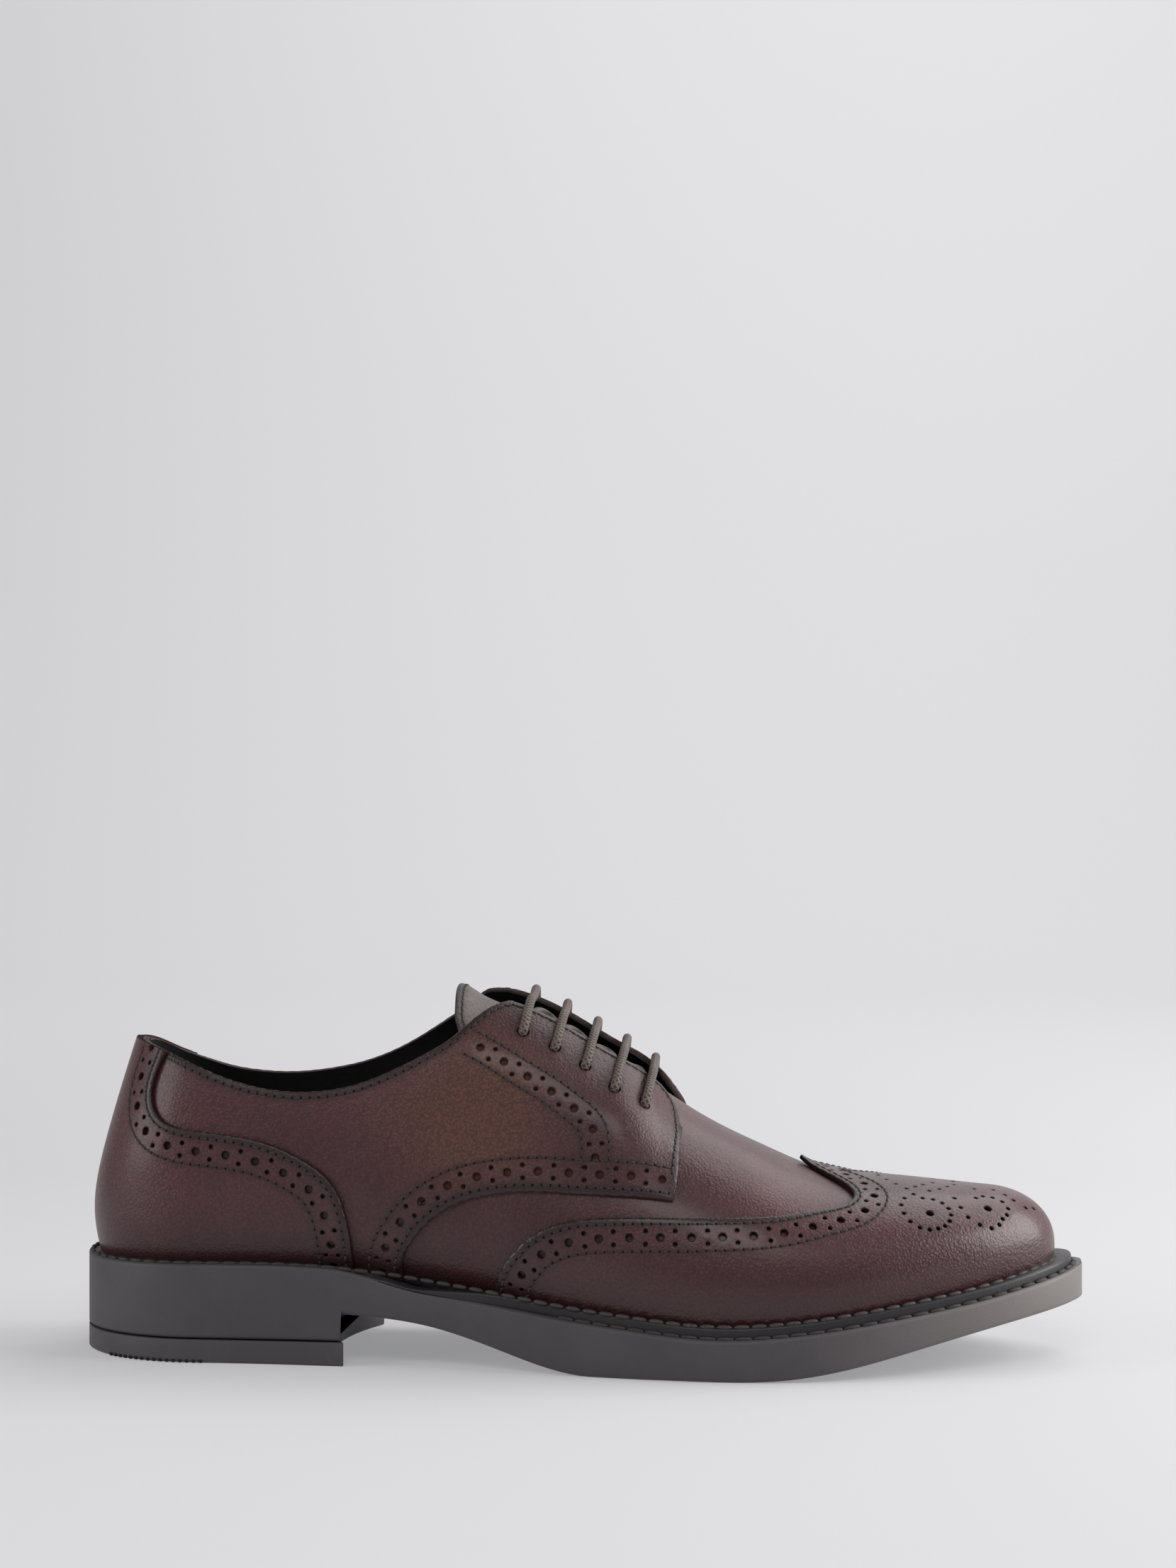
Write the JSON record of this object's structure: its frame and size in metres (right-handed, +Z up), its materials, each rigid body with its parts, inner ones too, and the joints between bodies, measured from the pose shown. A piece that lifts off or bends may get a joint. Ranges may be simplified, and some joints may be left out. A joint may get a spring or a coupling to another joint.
{
  "type": "brogue shoe",
  "caption": "Open-laced wingtip brogue shoe for the right foot, with a hollow leather upper, laced facings over a tongue, welt and moulded rubber sole with a low heel.",
  "frame": {"origin": "middle of the sole's rectangle, on the floor that the shoe stands on", "axes": "+X towards the toe, -Y towards the outer side of the foot, +Z up"},
  "size_m": [0.3048, 0.1026, 0.1097],
  "materials": {
    "outsole": "satin",
    "heel_lift": "satin",
    "welt": "satin",
    "insole": "matte",
    "upper": "polished",
    "wing_cap": "polished",
    "heel_counter": "polished",
    "tongue": "satin",
    "lace": "waxed"
  },
  "bodies": {
    "root": {"outsole": "outsole", "heel_lift": "heel_lift", "welt": "welt", "insole": "insole", "upper": "upper", "wing_cap": "wing_cap", "heel_counter": "heel_counter", "tongue": "tongue", "lace": "lace"}
  },
  "joints": []
}
